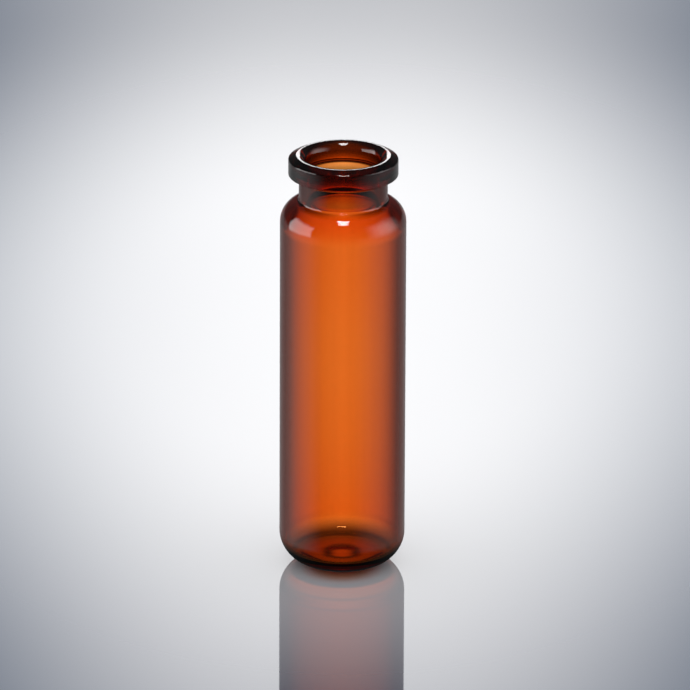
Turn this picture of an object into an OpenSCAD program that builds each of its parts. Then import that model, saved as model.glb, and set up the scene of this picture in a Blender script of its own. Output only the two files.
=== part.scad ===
// Glass sample vial with a bevelled crimp neck.
// One piece of amber tubing: a closed base with a push-up, a round heel, a straight tube,
// a round shoulder, a neck, and a crimp flange whose top is bevelled down from a sealing land.
// Millimetres. +Z is the vial's axis and the origin is the centre of the plane it stands on.

/* [Tube] */
// Outside diameter of the tube
body_d = 22.75; // [21.5:0.25:30]
// Overall height, from the standing plane to the sealing land
height = 77.8; // [50:0.1:110]
// Thickness of the tube's wall
wall = 1.15; // [0.8:0.05:1.6]
// Outside radius of the shoulder
shoulder_r = 4.2; // [3.5:0.1:4.5]
// Inside radius of the shoulder
inner_shoulder_r = 4.5; // [3.5:0.1:5]
// Thickness of the glass on top of the shoulder
shoulder_t = 1.35; // [1.2:0.05:2.3]

/* [Base] */
// Outside radius of the heel, where the wall turns into the base
heel_r = 5.9; // [4.5:0.1:6.5]
// Inside radius of the heel, which with the outside one sets how thick the glass gets there
inner_heel_r = 2.7; // [2:0.1:7.2]
// Thickness of the glass between the standing plane and the foot of the crown
base_t = 2.25; // [1.5:0.05:3]
// Width of the flat ring that the vial stands on, between the heel and the push-up
ring_w = 2.6; // [0.4:0.05:3]
// Height of the push-up at the middle of the base
push_up_rise = 0.3; // [0.2:0.05:0.6]
// Height of the crown at the middle of the inner floor
crown_rise = 0.4; // [0.2:0.05:0.8]
// Radius that eases the foot of the push-up and of the crown
dome_foot_r = 3.5; // [0.5:0.1:4]

/* [Neck] */
// Outside diameter of the neck
neck_d = 16; // [15:0.1:17.5]
// Length of the neck, from the top of the shoulder to the underside of the flange
neck_l = 4.7; // [4:0.05:9]
// Diameter of the bore through the neck
bore_d = 13; // [11.5:0.1:13.4]
// Radius between the neck and the shoulder outside
neck_fillet_r = 0.5; // [0.3:0.1:1.6]
// Radius on the glass where the bore opens into the tube
throat_r = 3.4; // [2.5:0.1:5]

/* [Crimp flange] */
// Diameter of the flange that the crimp cap grips
flange_d = 19.8; // [19:0.1:21]
// Height of the flange, from its underside to the sealing land
flange_h = 3.7; // [3:0.05:4.5]
// Radial width of the bevel, from the flange's side to where it would meet the sealing land
bevel_w = 1.4; // [0.8:0.05:1.8]
// Drop of the bevel from the sealing land to the flange's side
bevel_h = 0.65; // [0.3:0.05:1.4]
// Width of the flat sealing land, between the rounds of the bevel and of the mouth
land_w = 0.1; // [0.05:0.05:0.8]
// Radius between the bevel and the sealing land
land_edge_r = 0.7; // [0.1:0.05:1]
// Radius between the bevel and the flange's side
bevel_edge_r = 0.35; // [0.1:0.05:0.6]
// Radius on the flange's lower edge
lower_edge_r = 0.25; // [0.2:0.05:1]
// Radius between the neck and the underside of the flange
under_fillet_r = 0.85; // [0.2:0.05:0.9]

/* [Hidden] */
facets = 180;
amber = [0.86, 0.40, 0.13, 0.7];
// Furthest that the drawn outline may lie inside a true round
round_error = 0.008;

body_r = body_d / 2;
inner_r = body_r - wall;
neck_r = neck_d / 2;
bore_r = bore_d / 2;
flange_r = flange_d / 2;
// Half widths of the push-up below and of the crown above it
push_up_r = body_r - heel_r - ring_w;
crown_r = inner_r - inner_heel_r;

// Heights of the flange's underside and of the corner between its side and its bevel
flange_z = height - flange_h;
bevel_z = height - bevel_h;
// Slope of the bevel below the horizontal, and the outer edge of the flat sealing land
bevel_angle = atan2(bevel_h, bevel_w);
land_r = flange_r - bevel_w - land_edge_r * tan(bevel_angle / 2);
// The mouth's round takes up what is left between the bore and the sealing land
mouth_r = land_r - land_w - bore_r;
// The rounds below the flange, each at most half as wide as the flange overhangs the neck
overhang = flange_r - neck_r;
under_round_r = min(under_fillet_r, overhang / 2);
lower_round_r = min(lower_edge_r, overhang / 2);

// Centres of the shoulder's outside and inside rounds, both in from the wall and below the neck
shoulder_x = body_r - shoulder_r;
shoulder_z = flange_z - neck_l - shoulder_r;
inner_shoulder_x = inner_r - inner_shoulder_r;
inner_shoulder_z = shoulder_z + shoulder_r - shoulder_t - inner_shoulder_r;

// Centres of the two rounds that carry the neck into the shoulder, outside and inside
neck_fillet_x = neck_r + neck_fillet_r;
neck_fillet_dx = neck_fillet_x - shoulder_x;
neck_fillet_z = shoulder_z + touching_rise(neck_fillet_dx, shoulder_r + neck_fillet_r);
throat_x = bore_r + throat_r;
throat_dx = throat_x - inner_shoulder_x;
throat_z = inner_shoulder_z + touching_rise(throat_dx, inner_shoulder_r + throat_r);

// Directions in which those rounds touch the shoulder's rounds
outside_touch_angle = touching_angle(neck_fillet_dx, shoulder_r + neck_fillet_r);
inside_touch_angle = touching_angle(throat_dx, inner_shoulder_r + throat_r);

// Height between the centres of two rounds that touch, dx apart sideways and reach apart in all
function touching_rise(dx, reach) = sqrt(pow(reach, 2) - pow(max(0, dx), 2));
// Direction from the lower centre to the upper one
function touching_angle(dx, reach) = acos(max(0, dx) / reach);

// Radius of a low dome of a given rise and half width, with its foot eased by dome_foot_r
function dome_r(rise, half_w) = (pow(half_w, 2) + pow(rise, 2)) / (2 * rise) - dome_foot_r;
// Angle that the dome's round spans on one side of the axis
function dome_sweep(rise, half_w) = asin(half_w / (dome_r(rise, half_w) + dome_foot_r));

// The push-up's and the crown's own rounds
push_up_dome_r = dome_r(push_up_rise, push_up_r);
push_up_sweep = dome_sweep(push_up_rise, push_up_r);
crown_dome_r = dome_r(crown_rise, crown_r);
crown_sweep = dome_sweep(crown_rise, crown_r);

// The glass wall's outline, as rounds joined by straight lines, with the glass on the left.
// Each is [x, z, radius, start angle, sweep]; a sweep below zero makes a hollow round.
outside_rounds = [
    // push-up and its foot
    [0, push_up_rise - push_up_dome_r, push_up_dome_r, 90, -push_up_sweep],
    [push_up_r, dome_foot_r, dome_foot_r, 270 - push_up_sweep, push_up_sweep],
    // heel
    [body_r - heel_r, heel_r, heel_r, 270, 90],
    // shoulder and neck fillet
    [shoulder_x, shoulder_z, shoulder_r, 0, outside_touch_angle],
    [neck_fillet_x, neck_fillet_z, neck_fillet_r, 180 + outside_touch_angle, -outside_touch_angle],
    // underside and lower edge of the flange
    [neck_r + under_round_r, flange_z - under_round_r, under_round_r, 180, -90],
    [flange_r - lower_round_r, flange_z + lower_round_r, lower_round_r, 270, 90],
    // lower and upper edges of the bevel
    [flange_r - bevel_edge_r, bevel_z - bevel_edge_r * tan((90 - bevel_angle) / 2), bevel_edge_r,
        0, 90 - bevel_angle],
    [land_r, height - land_edge_r, land_edge_r, 90 - bevel_angle, bevel_angle]
];
inside_rounds = [
    // mouth
    [bore_r + mouth_r, height - mouth_r, mouth_r, 90, 90],
    // throat and inner shoulder
    [throat_x, throat_z, throat_r, 180, inside_touch_angle],
    [inner_shoulder_x, inner_shoulder_z, inner_shoulder_r, inside_touch_angle, -inside_touch_angle],
    // inner heel
    [crown_r, base_t + inner_heel_r, inner_heel_r, 0, -90],
    // foot and round of the inner floor's crown
    [crown_r, base_t + dome_foot_r, dome_foot_r, 270, -crown_sweep],
    [0, base_t + crown_rise - crown_dome_r, crown_dome_r, 90 - crown_sweep, crown_sweep]
];
wall_rounds = concat(outside_rounds, inside_rounds);

// The angle between neighbouring points on a round, small enough to keep to round_error
function round_step(radius) = 2 * acos(1 - round_error / radius);

// The points along a round, from its start angle to the end of its sweep
function round_points(round) =
    let (radius = round[2], start = round[3], sweep = round[4])
    let (steps = ceil(abs(sweep) / round_step(radius)))
    [
        for (i = [0 : steps])
            let (angle = start + sweep * i / steps)
            [round[0] + radius * cos(angle), round[1] + radius * sin(angle)]
    ];

// The section through one side of the glass, from the axis outwards
module wall_section() {
    polygon([for (round = wall_rounds) each round_points(round)]);
}

// The whole vial, turned about its axis
module vial() {
    color(amber)
        rotate_extrude($fn = facets)
            wall_section();
}

vial();
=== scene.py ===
"""Looks of the glass sample vial: clear amber glass on a glossy pale floor, in a soft studio."""

import math

import bpy
from mathutils import Matrix, Vector


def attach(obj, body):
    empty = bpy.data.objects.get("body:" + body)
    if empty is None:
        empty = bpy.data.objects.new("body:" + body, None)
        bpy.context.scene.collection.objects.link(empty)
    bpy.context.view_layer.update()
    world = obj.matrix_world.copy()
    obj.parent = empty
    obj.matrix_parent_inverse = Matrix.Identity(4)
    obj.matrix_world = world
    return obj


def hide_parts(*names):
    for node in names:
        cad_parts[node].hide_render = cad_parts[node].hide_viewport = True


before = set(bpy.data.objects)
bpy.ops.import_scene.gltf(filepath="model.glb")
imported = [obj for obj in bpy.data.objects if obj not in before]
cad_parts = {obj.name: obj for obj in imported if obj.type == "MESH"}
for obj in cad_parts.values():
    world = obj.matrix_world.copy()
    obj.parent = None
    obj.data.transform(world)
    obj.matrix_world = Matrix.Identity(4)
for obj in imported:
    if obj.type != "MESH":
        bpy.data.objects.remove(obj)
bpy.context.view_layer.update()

MM = 0.001
WHITE = (1.0, 1.0, 1.0, 1.0)


# ---------------------------------------------------------------- the vial's sizes, millimetres

# The tube
BODY_R = 11.375
HEIGHT = 77.8
WALL = 1.15
SHOULDER_R = 4.2
INNER_SHOULDER_R = 4.5
SHOULDER_T = 1.35

# The base
HEEL_R = 5.9
INNER_HEEL_R = 2.7
BASE_T = 2.25
RING_W = 2.6
PUSH_UP_RISE = 0.3
CROWN_RISE = 0.4
DOME_FOOT_R = 3.5

# The neck
NECK_R = 8.0
NECK_L = 4.7
BORE_R = 6.5
NECK_FILLET_R = 0.5
THROAT_R = 3.4

# The crimp flange and its bevel
FLANGE_R = 9.9
FLANGE_H = 3.7
BEVEL_W = 1.4
BEVEL_H = 0.65
LAND_W = 0.1
LAND_EDGE_R = 0.7
BEVEL_EDGE_R = 0.35
LOWER_EDGE_R = 0.25
UNDER_FILLET_R = 0.85

# What follows from those sizes
INNER_R = BODY_R - WALL
PUSH_UP_R = BODY_R - HEEL_R - RING_W
CROWN_R = INNER_R - INNER_HEEL_R
SHOULDER_X = BODY_R - SHOULDER_R
SHOULDER_Z = HEIGHT - FLANGE_H - NECK_L - SHOULDER_R
INNER_SHOULDER_X = INNER_R - INNER_SHOULDER_R
INNER_SHOULDER_Z = SHOULDER_Z + SHOULDER_R - SHOULDER_T - INNER_SHOULDER_R
FLANGE_Z = HEIGHT - FLANGE_H
BEVEL_Z = HEIGHT - BEVEL_H
BEVEL_ANGLE = math.degrees(math.atan2(BEVEL_H, BEVEL_W))
LAND_R = FLANGE_R - BEVEL_W - LAND_EDGE_R * math.tan(math.radians(BEVEL_ANGLE / 2))
MOUTH_R = LAND_R - LAND_W - BORE_R

# How finely the turned mesh is cut: steps round the axis, degrees and least steps along a
# round, and the longest step along a straight wall
SEGMENTS = 256
ROUND_STEP = 4.0
LEAST_STEPS = 4
WALL_STEP = 3.0
# Points nearer than this to each other, or to the axis, count as one, or as lying on it
SAME = 1e-6


# ---------------------------------------------------------------- the turned section

def touching_round(low_x, low_z, low_r, high_x, high_r):
    """Centre height of a round that touches a lower one, and the direction to that centre."""
    dx = high_x - low_x
    reach = low_r + high_r
    rise = math.sqrt(reach**2 - dx**2)
    return low_z + rise, math.degrees(math.acos(dx / reach))


def dome_round(top, rise, half_width):
    """Centre height, radius and half sweep of a low dome over the middle of the base."""
    radius = (half_width**2 + rise**2) / (2 * rise) - DOME_FOOT_R
    sweep = math.degrees(math.asin(half_width / (radius + DOME_FOOT_R)))
    return top - radius, radius, sweep


# Each round below is (x, z, radius, start angle, sweep), and a sweep below zero makes a hollow.

def outside_rounds():
    """The outline's rounds from the middle of the push-up to the sealing land."""
    dome_z, dome_r, dome_sweep = dome_round(PUSH_UP_RISE, PUSH_UP_RISE, PUSH_UP_R)
    fillet_x = NECK_R + NECK_FILLET_R
    fillet_z, touch = touching_round(SHOULDER_X, SHOULDER_Z, SHOULDER_R, fillet_x, NECK_FILLET_R)
    edge_sweep = 90 - BEVEL_ANGLE
    edge_z = BEVEL_Z - BEVEL_EDGE_R * math.tan(math.radians(edge_sweep / 2))
    return [
        (0, dome_z, dome_r, 90, -dome_sweep),
        (PUSH_UP_R, DOME_FOOT_R, DOME_FOOT_R, 270 - dome_sweep, dome_sweep),
        (BODY_R - HEEL_R, HEEL_R, HEEL_R, 270, 90),
        (SHOULDER_X, SHOULDER_Z, SHOULDER_R, 0, touch),
        (fillet_x, fillet_z, NECK_FILLET_R, 180 + touch, -touch),
        (NECK_R + UNDER_FILLET_R, FLANGE_Z - UNDER_FILLET_R, UNDER_FILLET_R, 180, -90),
        (FLANGE_R - LOWER_EDGE_R, FLANGE_Z + LOWER_EDGE_R, LOWER_EDGE_R, 270, 90),
        (FLANGE_R - BEVEL_EDGE_R, edge_z, BEVEL_EDGE_R, 0, edge_sweep),
        (LAND_R, HEIGHT - LAND_EDGE_R, LAND_EDGE_R, edge_sweep, BEVEL_ANGLE),
    ]


def inside_rounds():
    """The outline's rounds from the mouth down to the middle of the inner floor's crown."""
    throat_x = BORE_R + THROAT_R
    throat_z, touch = touching_round(INNER_SHOULDER_X, INNER_SHOULDER_Z, INNER_SHOULDER_R,
                                     throat_x, THROAT_R)
    dome_z, dome_r, dome_sweep = dome_round(BASE_T + CROWN_RISE, CROWN_RISE, CROWN_R)
    return [
        (BORE_R + MOUTH_R, HEIGHT - MOUTH_R, MOUTH_R, 90, 90),
        (throat_x, throat_z, THROAT_R, 180, touch),
        (INNER_SHOULDER_X, INNER_SHOULDER_Z, INNER_SHOULDER_R, touch, -touch),
        (CROWN_R, BASE_T + INNER_HEEL_R, INNER_HEEL_R, 0, -90),
        (CROWN_R, BASE_T + DOME_FOOT_R, DOME_FOOT_R, 270, -dome_sweep),
        (0, dome_z, dome_r, 90 - dome_sweep, dome_sweep),
    ]


def round_points(x, z, radius, start, sweep):
    """Points along one round, each with the direction that faces out of the glass."""
    steps = max(LEAST_STEPS, math.ceil(abs(sweep) / ROUND_STEP))
    side = 1 if sweep > 0 else -1
    points = []
    for i in range(steps + 1):
        angle = math.radians(start + sweep * i / steps)
        c, s = math.cos(angle), math.sin(angle)
        points.append((x + radius * c, z + radius * s, side * c, side * s))
    return points


def straight_points(start, end):
    """Points that cut up the straight wall between two points, facing as the first one does."""
    x0, z0, nx, nz = start
    x1, z1 = end[:2]
    pieces = math.ceil(math.hypot(x1 - x0, z1 - z0) / WALL_STEP)
    shares = [i / pieces for i in range(1, pieces)]
    return [(x0 + (x1 - x0) * t, z0 + (z1 - z0) * t, nx, nz) for t in shares]


def section_points():
    """The whole outline, from the axis outwards and back, with straight walls between rounds."""
    points = []
    for one_round in outside_rounds() + inside_rounds():
        new = round_points(*one_round)
        if points:
            points += straight_points(points[-1], new[0])
        if points and math.dist(points[-1][:2], new[0][:2]) < SAME:
            new = new[1:]
        points += new
    return points


def turned_rows(section):
    """The section's points turned into rings, as points, normals and each row's indices."""
    verts, normals, rows = [], [], []
    for x, z, nx, nz in section:
        first = len(verts)
        if x < SAME:
            verts.append((0, 0, z * MM))
            normals.append((0, 0, math.copysign(1, nz)))
        else:
            for k in range(SEGMENTS):
                turn = 2 * math.pi * k / SEGMENTS
                c, s = math.cos(turn), math.sin(turn)
                verts.append((x * c * MM, x * s * MM, z * MM))
                normals.append((nx * c, nx * s, nz))
        rows.append(range(first, len(verts)))
    return verts, normals, rows


def band_faces(low, high):
    """The faces between two rows, either of which may be a single point on the axis."""
    faces = []
    for k in range(SEGMENTS):
        j = (k + 1) % SEGMENTS
        if len(low) == 1:
            faces.append((low[0], high[j], high[k]))
        elif len(high) == 1:
            faces.append((low[k], low[j], high[0]))
        else:
            faces.append((low[k], low[j], high[j], high[k]))
    return faces


def turned_mesh(name, section):
    """Turns a section about the axis into one closed mesh with the section's own normals."""
    verts, normals, rows = turned_rows(section)
    faces = [face for low, high in zip(rows, rows[1:]) for face in band_faces(low, high)]
    mesh = bpy.data.meshes.new(name)
    mesh.from_pydata(verts, [], faces)
    mesh.shade_smooth()
    mesh.normals_split_custom_set_from_vertices(normals)
    return mesh


def add_object(name, data):
    """Puts a new object into the scene."""
    obj = bpy.data.objects.new(name, data)
    bpy.context.scene.collection.objects.link(obj)
    return obj


# ---------------------------------------------------------------- node helpers

class Graph:
    """Short calls for wiring one node tree."""

    def __init__(self, tree):
        self.tree = tree
        tree.nodes.clear()

    def node(self, kind, **settings):
        made = self.tree.nodes.new(kind)
        for key, value in settings.items():
            setattr(made, key, value)
        return made

    def put(self, socket, value):
        """Links a socket to another node's output, or gives it a plain value."""
        if isinstance(value, bpy.types.NodeSocket):
            self.tree.links.new(value, socket)
        else:
            socket.default_value = value

    def parts(self, vector):
        """The x, y and z of a vector."""
        made = self.node("ShaderNodeSeparateXYZ")
        self.put(made.inputs[0], vector)
        return made.outputs

    def math(self, operation, *values):
        made = self.node("ShaderNodeMath", operation=operation)
        for socket, value in zip(made.inputs, values):
            self.put(socket, value)
        return made.outputs[0]

    def ramp(self, value, edges, before=0.0, after=1.0):
        """A smooth step between two edges, from one level before them to another after."""
        made = self.node("ShaderNodeMapRange", interpolation_type="SMOOTHSTEP")
        for name, setting in zip(("Value", "From Min", "From Max", "To Min", "To Max"),
                                 (value, *edges, before, after)):
            self.put(made.inputs[name], setting)
        return made.outputs[0]

    def stops(self, value, stops):
        """A colour along a scale of stops, each a position and a colour."""
        made = self.node("ShaderNodeValToRGB")
        self.put(made.inputs[0], value)
        elements = made.color_ramp.elements
        elements[1].position, elements[1].color = stops[-1]
        elements[0].position, elements[0].color = stops[0]
        for position, color in stops[1:-1]:
            elements.new(position).color = color
        return made.outputs[0]

    def mix(self, kind, factor, a, b, **settings):
        """Mixes two sockets or values of one kind, FLOAT or RGBA."""
        made = self.node("ShaderNodeMix", data_type=kind, **settings)
        sides = [s for s in made.inputs if s.enabled]
        for socket, value in zip(sides, (factor, a, b)):
            self.put(socket, value)
        return next(s for s in made.outputs if s.enabled)

    def mix_value(self, factor, a, b):
        return self.mix("FLOAT", factor, a, b)

    def mix_color(self, factor, a, b, blend="MIX"):
        return self.mix("RGBA", factor, a, b, blend_type=blend)

    def mix_shader(self, factor, a, b):
        made = self.node("ShaderNodeMixShader")
        for socket, value in zip(made.inputs, (factor, a, b)):
            self.put(socket, value)
        return made.outputs[0]


def new_material(name):
    """An empty material, the graph of its nodes, and its output node."""
    material = bpy.data.materials.new(name)
    material.use_nodes = True
    g = Graph(material.node_tree)
    return material, g, g.node("ShaderNodeOutputMaterial")


# ---------------------------------------------------------------- amber glass

GLASS_IOR = 1.5
# Absorption of the glass per metre of path, and the tint it leaves
GLASS_DENSITY = 1850.0
GLASS_TINT = (0.965, 0.59, 0.065, 1.0)
# Painted shade: the glass's colour is darkened towards the foot and the shoulder, more in the
# neck and most in the flange, where the glass looks darker. Each stop is a height in mm and a
# colour.
WALL_PAINTED_SHADE = (0.99, 0.92, 0.88, 1.0)
NECK_PAINTED_SHADE = (0.52, 0.56, 0.52, 1.0)
FLANGE_PAINTED_SHADE = (0.10, 0.11, 0.13, 1.0)
TINT_FADE = 0.3
NECK_TINT_FOOT = FLANGE_Z - NECK_L + NECK_FILLET_R
NECK_TINT_TOP = FLANGE_Z - UNDER_FILLET_R
FLANGE_TINT_FOOT = FLANGE_Z + 0.8
PAINTED_SHADE_STOPS = (
    (2.4, WHITE),
    (4.5, (0.98, 0.80, 0.50, 1.0)),
    (12.0, (0.955, 0.83, 0.74, 1.0)),
    (20.0, (0.98, 0.92, 0.85, 1.0)),
    (40.0, WHITE),
    (60.0, WALL_PAINTED_SHADE),
    (NECK_TINT_FOOT - TINT_FADE, WALL_PAINTED_SHADE),
    (NECK_TINT_FOOT + TINT_FADE, NECK_PAINTED_SHADE),
    (NECK_TINT_TOP - TINT_FADE, NECK_PAINTED_SHADE),
    (NECK_TINT_TOP + TINT_FADE, WALL_PAINTED_SHADE),
    (FLANGE_TINT_FOOT - TINT_FADE, WALL_PAINTED_SHADE),
    (FLANGE_TINT_FOOT + TINT_FADE, FLANGE_PAINTED_SHADE),
)
# Fine streaks that drawing the tube leaves along it: how many per metre round and along it,
# the detail and the part of the noise that shows as a streak, and how much they darken it
STREAKS_ROUND = 900.0
STREAKS_ALONG = 12.0
STREAK_DETAIL = 3.0
STREAK_EDGES = (0.45, 0.75)
STREAK_TINT = (0.975, 0.955, 0.94, 1.0)


def draw_streaks(g, place):
    """Where the fine streaks lie that run along the drawn tube."""
    stretch = g.node("ShaderNodeMapping")
    g.put(stretch.inputs["Vector"], place)
    stretch.inputs["Scale"].default_value = (STREAKS_ROUND, STREAKS_ROUND, STREAKS_ALONG)
    noise = g.node("ShaderNodeTexNoise")
    g.put(noise.inputs["Vector"], stretch.outputs[0])
    noise.inputs["Scale"].default_value = 1.0
    noise.inputs["Detail"].default_value = STREAK_DETAIL
    return g.ramp(noise.outputs[0], STREAK_EDGES)


def painted_shade_and_streaks(g, place):
    """The glass's surface colour: painted shade by height, with the streaks over it."""
    share_of_height = g.math("DIVIDE", g.parts(place)[2], HEIGHT * MM)
    tint = g.stops(share_of_height, [(height / HEIGHT, color) for height, color in PAINTED_SHADE_STOPS])
    return g.mix_color(draw_streaks(g, place), tint, STREAK_TINT, "MULTIPLY")


def amber_glass():
    """Smooth glass that takes its amber from the light's path through it."""
    material, g, out = new_material("amber_glass_clear")
    place = g.node("ShaderNodeTexCoord").outputs["Object"]
    glass = g.node("ShaderNodeBsdfPrincipled")
    # The base colour carries the painted shade by height as well as the streaks
    g.put(glass.inputs["Base Color"], painted_shade_and_streaks(g, place))
    glass.inputs["Roughness"].default_value = 0.0
    glass.inputs["IOR"].default_value = GLASS_IOR
    glass.inputs["Transmission Weight"].default_value = 1.0
    absorb = g.node("ShaderNodeVolumeAbsorption")
    absorb.inputs["Color"].default_value = GLASS_TINT
    absorb.inputs["Density"].default_value = GLASS_DENSITY
    g.put(out.inputs["Surface"], glass.outputs[0])
    g.put(out.inputs["Volume"], absorb.outputs[0])
    return material


# ---------------------------------------------------------------- studio light

# The world shows each kind of ray its own studio: one to light that the glass bends, one to
# light that the glass mirrors, one to the floor's gloss, and a plain backdrop to all the rest.
# Directions are in degrees: azimuth from +Y (behind the vial in the main view), + to the right.

# Light that comes straight through the glass: bright lobes with dark flags between them
LOBE_SPACING = 45.0
LOBE_WIDTH = 8.2
LOBE_POWER = 1.2
LOBE_LOW_LEVEL = 0.10
LOBE_TOP_LEVEL = 1.05
# Light that leaves the glass after reflections inside it
TRAPPED_LEVEL = 0.10
# Light from above the horizon, where it starts, and its level where the glass shows it directly
HORIZON_FADE = (-2.0, 6.0)
DIRECT_FADE = (15.0, 45.0)
DIRECT_LOW_LEVEL = 0.06
DIRECT_HIGH_LEVEL = 0.16
# Its level where something has mirrored it: it falls at the first fade and rises at the second
MIRRORED_FADE = (21.2, 23.2)
MIRRORED_LOW_LEVEL = 0.42
MIRRORED_HIGH_LEVEL = 0.16
STEEP_FADE = (22.8, 25.2)
STEEP_LEVEL = 0.27

# The dim room that the outside of the glass mirrors: it lightens with the cosine of the
# azimuth, and less of it is left above the horizon, where the flange's bevel mirrors it
ROOM_LEVEL = 0.3
ROOM_LOW_LEVEL = 0.03
ROOM_FADE = (-0.7, 0.6)
ROOM_HORIZON_FADE = (-6.0, 4.0)
ROOM_ABOVE_SHARE = 0.12
# The small lamp overhead: its lean to the front, and its edges, as tangents from the vertical
LAMP_LEAN = 0.24
LAMP_EDGES_ACROSS = (0.095, 0.125)
LAMP_EDGES_ALONG = (0.23, 0.29)
LAMP_LEVEL = 20.0

# The backdrop, and what the floor's gloss shows of it away from the middle of its strips
BACKDROP = (0.985, 0.99, 1.0, 1.0)
BACKDROP_EDGE = (0.075, 0.13, 0.20, 1.0)
STRIP_FADE = (0.26, 3.63)

# The softboxes: the middle of each, half its size, its soft edges, and its level. There is one
# on each side, each with a fainter one below the horizon, and a small one behind.
SOFTBOXES = (
    dict(azimuth=-93, elevation=10, half_w=27, half_h=21, soft_w=3, soft_h=7, level=3.7),
    dict(azimuth=-95, elevation=-19, half_w=30, half_h=12, soft_w=22, soft_h=6, level=0.55),
    dict(azimuth=97, elevation=14, half_w=25, half_h=22, soft_w=20, soft_h=15, level=2.4),
    dict(azimuth=112, elevation=-19, half_w=30, half_h=12, soft_w=25, soft_h=6, level=0.33),
    dict(azimuth=0, elevation=18.2, half_w=9, half_h=3.4, soft_w=2, soft_h=1.6, level=5.3),
)
# Limits on how often light has been reflected, half way between two counts
NO_TURN = 0.5
ONE_TURN = 1.5


def off_lobe(g, azimuth):
    """Degrees between a direction and the middle of the nearest lobe or strip."""
    return g.math("PINGPONG", azimuth, LOBE_SPACING / 2)


def lobe_level(g, azimuth):
    """The bright lobes of the backdrop that the glass bends, with dark flags between them."""
    fall = g.math("POWER", g.math("DIVIDE", off_lobe(g, azimuth), LOBE_WIDTH), LOBE_POWER)
    lobe = g.math("EXPONENT", g.math("MULTIPLY", fall, -1.0))
    return g.mix_value(lobe, LOBE_LOW_LEVEL, LOBE_TOP_LEVEL)


def above_level(g, elevation, turns):
    """How much light is left above the horizon, seen directly or after a reflection."""
    direct = g.ramp(elevation, DIRECT_FADE, DIRECT_LOW_LEVEL, DIRECT_HIGH_LEVEL)
    mirrored = g.ramp(elevation, MIRRORED_FADE, MIRRORED_LOW_LEVEL, MIRRORED_HIGH_LEVEL)
    steep = g.ramp(elevation, STEEP_FADE, 0.0, STEEP_LEVEL)
    reflected = g.math("GREATER_THAN", turns, NO_TURN)
    return g.mix_value(reflected, direct, g.math("ADD", mirrored, steep))


def light_through(g, azimuth, elevation, turns):
    """The light that the glass bends. From above the horizon it may be reflected once."""
    upward = g.ramp(elevation, HORIZON_FADE)
    straight = g.math("LESS_THAN", turns, g.math("ADD", upward, NO_TURN))
    level = g.mix_value(straight, TRAPPED_LEVEL, lobe_level(g, azimuth))
    share = g.mix_value(upward, 1.0, above_level(g, elevation, turns))
    return g.math("MULTIPLY", level, share)


def softbox_span(g, direction, middle, half, soft):
    """How far a direction lies inside a softbox, one way across it."""
    off_middle = g.math("ABSOLUTE", g.math("SUBTRACT", direction, middle))
    return g.ramp(off_middle, (half - soft, half + soft), 1.0, 0.0)


def softbox_level(g, azimuth, elevation, box):
    """The light of one softbox."""
    sides = softbox_span(g, azimuth, box["azimuth"], box["half_w"], box["soft_w"])
    ends = softbox_span(g, elevation, box["elevation"], box["half_h"], box["soft_h"])
    return g.math("MULTIPLY", g.math("MULTIPLY", sides, ends), box["level"])


def lamp_level(g, way):
    """The light of the small lamp overhead."""
    across = g.math("ABSOLUTE", g.math("DIVIDE", way[0], way[2]))
    ahead = g.math("DIVIDE", way[1], way[2])
    along = g.math("ABSOLUTE", g.math("ADD", ahead, LAMP_LEAN))
    sides = g.ramp(across, LAMP_EDGES_ACROSS, 1.0, 0.0)
    ends = g.ramp(along, LAMP_EDGES_ALONG, 1.0, 0.0)
    above = g.math("GREATER_THAN", way[2], 0.0)
    lit = g.math("MULTIPLY", g.math("MULTIPLY", sides, ends), above)
    return g.math("MULTIPLY", lit, LAMP_LEVEL)


def room_level(g, azimuth, elevation):
    """The dim room, lighter behind the vial and below the horizon."""
    behind = g.math("COSINE", g.math("RADIANS", azimuth))
    below = g.ramp(elevation, ROOM_HORIZON_FADE, 1.0, ROOM_ABOVE_SHARE)
    share = g.math("MULTIPLY", g.ramp(behind, ROOM_FADE), below)
    return g.math("MULTIPLY_ADD", share, ROOM_LEVEL, ROOM_LOW_LEVEL)


def light_mirrored(g, azimuth, elevation, turns, way):
    """What the outside of the glass mirrors: the lamps, reflected once at most, and the room."""
    total = lamp_level(g, way)
    for box in SOFTBOXES:
        total = g.math("ADD", total, softbox_level(g, azimuth, elevation, box))
    lit = g.math("MULTIPLY", total, g.math("LESS_THAN", turns, ONE_TURN))
    return g.math("ADD", lit, room_level(g, azimuth, elevation))


def backdrop_color(g, azimuth, path):
    """The backdrop's colour, which the floor's gloss sees as strips fading to their edges."""
    blurred = g.math("SUBTRACT", 1.0, path["Is Singular Ray"])
    by_floor = g.math("MULTIPLY", path["Is Glossy Ray"], blurred)
    off_strip = g.ramp(off_lobe(g, azimuth), STRIP_FADE)
    return g.mix_color(g.math("MULTIPLY", by_floor, off_strip), BACKDROP, BACKDROP_EDGE)


def studio_world():
    """What each kind of ray sees round the vial."""
    world = bpy.data.worlds.new("studio")
    world.use_nodes = True
    bpy.context.scene.world = world
    g = Graph(world.node_tree)
    out = g.node("ShaderNodeOutputWorld")
    way = g.parts(g.node("ShaderNodeTexCoord").outputs["Generated"])
    azimuth = g.math("DEGREES", g.math("ARCTAN2", way[0], way[1]))
    elevation = g.math("DEGREES", g.math("ARCSINE", way[2]))
    path = g.node("ShaderNodeLightPath").outputs
    turns = path["Glossy Depth"]
    through = light_through(g, azimuth, elevation, turns)
    mirrored = light_mirrored(g, azimuth, elevation, turns, way)
    by_glass = g.mix_value(path["Is Transmission Ray"], mirrored, through)
    back = g.node("ShaderNodeBackground")
    g.put(back.inputs["Color"], backdrop_color(g, azimuth, path))
    g.put(back.inputs["Strength"], g.mix_value(path["Is Singular Ray"], 1.0, by_glass))
    g.put(out.inputs["Surface"], back.outputs[0])


# ---------------------------------------------------------------- floor, in metres

FLOOR_HALF = 1.5
# Where the floor fades into the backdrop, as a distance from the vial
FLOOR_EDGE = (0.8, 1.4)
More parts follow.
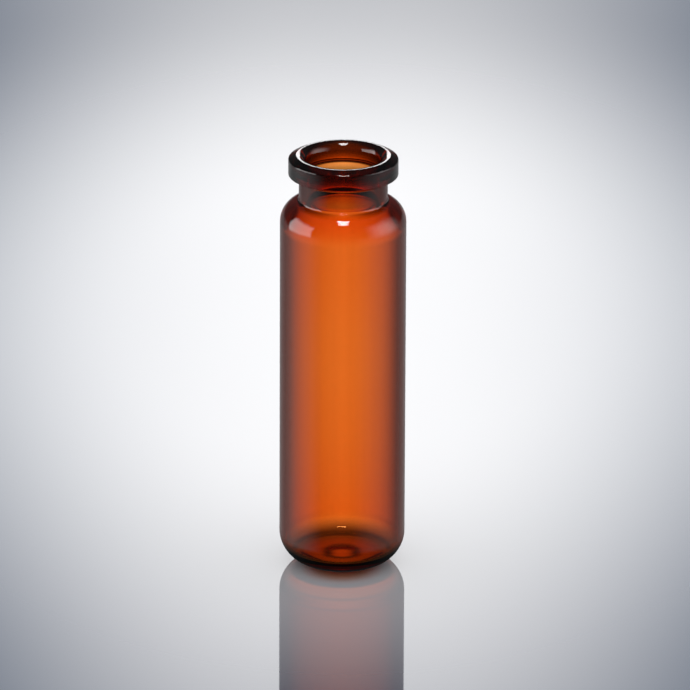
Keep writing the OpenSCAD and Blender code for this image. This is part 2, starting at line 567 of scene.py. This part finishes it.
# The painted pool of light on the floor, darkening to a painted rim: its middle, how far it
# reaches sideways, and to the back and to the front of that middle, and the share of that reach
# over which it stays flat
POOL_MIDDLE_Y = 0.1335
POOL_REACH_X = 0.1346
POOL_REACH_BACK = 0.2097
POOL_REACH_FRONT = 0.2506
POOL_FLAT = 0.3
PAINTED_POOL_COLOR = (0.985, 0.98, 1.0, 1.0)
PAINTED_RIM_COLOR = (0.0, 0.012, 0.062, 1.0)
# The floor's gloss grows with Facing to a power, and is FLOOR_SHINE where that power is
# FACING_POWERED, which is what it comes to seen from 20 degrees above the floor
FLOOR_SHINE = 0.509
FACING_POWER = 1.6
FACING_POWERED = 0.507
FLOOR_ROUGHNESS = 0.03
# The painted amber shade that the heel casts in front of it: its middle and its soft edge
AMBER_SHADE_Y = -0.005
AMBER_SHADE_EDGES = (0.003, 0.008)
AMBER_SHADE_COLOR = (1.0, 0.45, 0.25, 1.0)
# The floor under the vial as its glass shows it, painted as a glow of its own: it fades from
# under the push-up outwards to painted shade, but for one painted dark ring, and the backdrop
# takes over further out
UNDER_LEVEL = 0.72
UNDER_RIM_LEVEL = 0.04
UNDER_REACH = 0.011
UNDER_COLOR = (0.64, 1.0, 1.0, 1.0)
DARK_RING_R = 0.0025
DARK_RING_W = 0.00095
DARK_RING_DEPTH = 0.92
OPEN_EDGES = (0.008, 0.025)
# How much of that painted glow the outside of the heel mirrors, as a painted reflection
UNDER_MIRRORED = 0.15


def length(g, x, y):
    """The length of a level vector."""
    return g.math("SQRT", g.math("ADD", g.math("MULTIPLY", x, x), g.math("MULTIPLY", y, y)))


def painted_pool_color(g, place):
    """The floor's colour, a painted pool of light: palest behind the vial, darkest at its rim.
    """
    x = g.math("DIVIDE", place[0], POOL_REACH_X)
    ahead = g.math("SUBTRACT", place[1], POOL_MIDDLE_Y)
    back = g.math("DIVIDE", g.math("MAXIMUM", ahead, 0.0), POOL_REACH_BACK)
    front = g.math("DIVIDE", g.math("MINIMUM", ahead, 0.0), POOL_REACH_FRONT)
    away = length(g, x, g.math("ADD", back, front))
    return g.mix_color(g.ramp(away, (POOL_FLAT, 1.0)), PAINTED_POOL_COLOR, PAINTED_RIM_COLOR)


def shaded_color(g, place):
    """The floor's colour with the painted amber shade of the heel on it."""
    from_shade = length(g, place[0], g.math("SUBTRACT", place[1], AMBER_SHADE_Y))
    shade = g.ramp(from_shade, AMBER_SHADE_EDGES, 1.0, 0.0)
    return g.mix_color(shade, painted_pool_color(g, place), AMBER_SHADE_COLOR, "MULTIPLY")


def glossy_floor(g, place):
    """The floor itself, glossier the flatter it is seen."""
    lit = g.node("ShaderNodeBsdfDiffuse")
    g.put(lit.inputs["Color"], shaded_color(g, place))
    shine = g.node("ShaderNodeBsdfGlossy")
    shine.inputs["Color"].default_value = WHITE
    shine.inputs["Roughness"].default_value = FLOOR_ROUGHNESS
    facing = g.node("ShaderNodeLayerWeight").outputs["Facing"]
    powered = g.math("POWER", facing, FACING_POWER)
    share = g.math("MULTIPLY", powered, FLOOR_SHINE / FACING_POWERED)
    return g.mix_shader(share, lit.outputs[0], shine.outputs[0])


def painted_under_glow(g, radius, path):
    """The painted glow, with a painted dark ring, that clear glass shows of the floor under the
    vial.
    """
    glow = g.ramp(radius, (0.0, UNDER_REACH), UNDER_LEVEL, UNDER_RIM_LEVEL)
    off_ring = g.math("DIVIDE", g.math("SUBTRACT", radius, DARK_RING_R), DARK_RING_W)
    ring = g.math("EXPONENT", g.math("MULTIPLY", g.math("MULTIPLY", off_ring, off_ring), -1.0))
    ringed = g.math("MULTIPLY", glow, g.math("MULTIPLY_ADD", ring, -DARK_RING_DEPTH, 1.0))
    share = g.mix_value(path["Is Transmission Ray"], UNDER_MIRRORED, 1.0)
    light = g.node("ShaderNodeEmission")
    light.inputs["Color"].default_value = UNDER_COLOR
    g.put(light.inputs["Strength"], g.math("MULTIPLY", ringed, share))
    return light.outputs[0]


def floor_material():
    """The glossy floor, what clear glass shows in its place, and its soft end far out."""
    material, g, out = new_material("studio_floor")
    path = g.node("ShaderNodeLightPath").outputs
    place = g.parts(g.node("ShaderNodeTexCoord").outputs["Object"])
    radius = length(g, place[0], place[1])
    clear = g.node("ShaderNodeBsdfTransparent").outputs[0]
    by_glass = g.mix_shader(g.ramp(radius, OPEN_EDGES), painted_under_glow(g, radius, path), clear)
    near = g.mix_shader(path["Is Singular Ray"], glossy_floor(g, place), by_glass)
    g.put(out.inputs["Surface"], g.mix_shader(g.ramp(radius, FLOOR_EDGE), near, clear))
    return material


def studio_floor():
    """A flat floor, level with the plane that the vial stands on."""
    mesh = bpy.data.meshes.new("floor")
    h = FLOOR_HALF
    mesh.from_pydata([(-h, -h, 0), (h, -h, 0), (h, h, 0), (-h, h, 0)], [], [(0, 1, 2, 3)])
    mesh.materials.append(floor_material())
    floor = add_object("floor", mesh)


# ---------------------------------------------------------------- camera

# The point that the camera aims at, its distance from there and its height above the
# horizontal, in millimetres and degrees, and how far it is rolled
CAMERA_TARGET = (0.417, 0.0, 41.454)
CAMERA_DISTANCE = 1789.4
CAMERA_ELEVATION = 20.268
CAMERA_ROLL = 0.225
# The scale of the photo at that point, the photo's width in pixels, and the sensor's in mm
PIXELS_PER_MM = 5.5385
IMAGE_WIDTH = 690
SENSOR = 36.0
# The nearest and furthest that the camera sees, in metres
CLIP = (0.1, 10.0)


def studio_camera():
    """The camera at the photo's viewing angle, which was fitted to the vial's outline."""
    e = math.radians(CAMERA_ELEVATION)
    roll = math.radians(CAMERA_ROLL)
    forward = Vector((0, math.cos(e), -math.sin(e)))
    right = Vector((1, 0, 0))
    up = right.cross(forward)
    across = right * math.cos(roll) + up * math.sin(roll)
    upright = up * math.cos(roll) - right * math.sin(roll)
    data = bpy.data.cameras.new("camera")
    data.sensor_width = SENSOR
    data.lens = PIXELS_PER_MM * CAMERA_DISTANCE * SENSOR / IMAGE_WIDTH
    data.clip_start, data.clip_end = CLIP
    camera = add_object("camera", data)
    place = (Vector(CAMERA_TARGET) - forward * CAMERA_DISTANCE) * MM
    camera.matrix_world = Matrix((
        (across.x, upright.x, -forward.x, place.x),
        (across.y, upright.y, -forward.y, place.y),
        (across.z, upright.z, -forward.z, place.z),
        (0, 0, 0, 1),
    ))
    bpy.context.scene.camera = camera


# ---------------------------------------------------------------- the scene

def vial():
    """The vial, turned from the sizes above, which stands for the CAD node."""
    mesh = turned_mesh("vial_glass", section_points())
    mesh.materials.append(amber_glass())
    glass = add_object("vial_glass", mesh)
    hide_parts("vial")
    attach(glass, "root")


vial()
studio_floor()
studio_world()
studio_camera()
bpy.context.scene.view_settings.view_transform = "Standard"

bpy.context.view_layer.update()
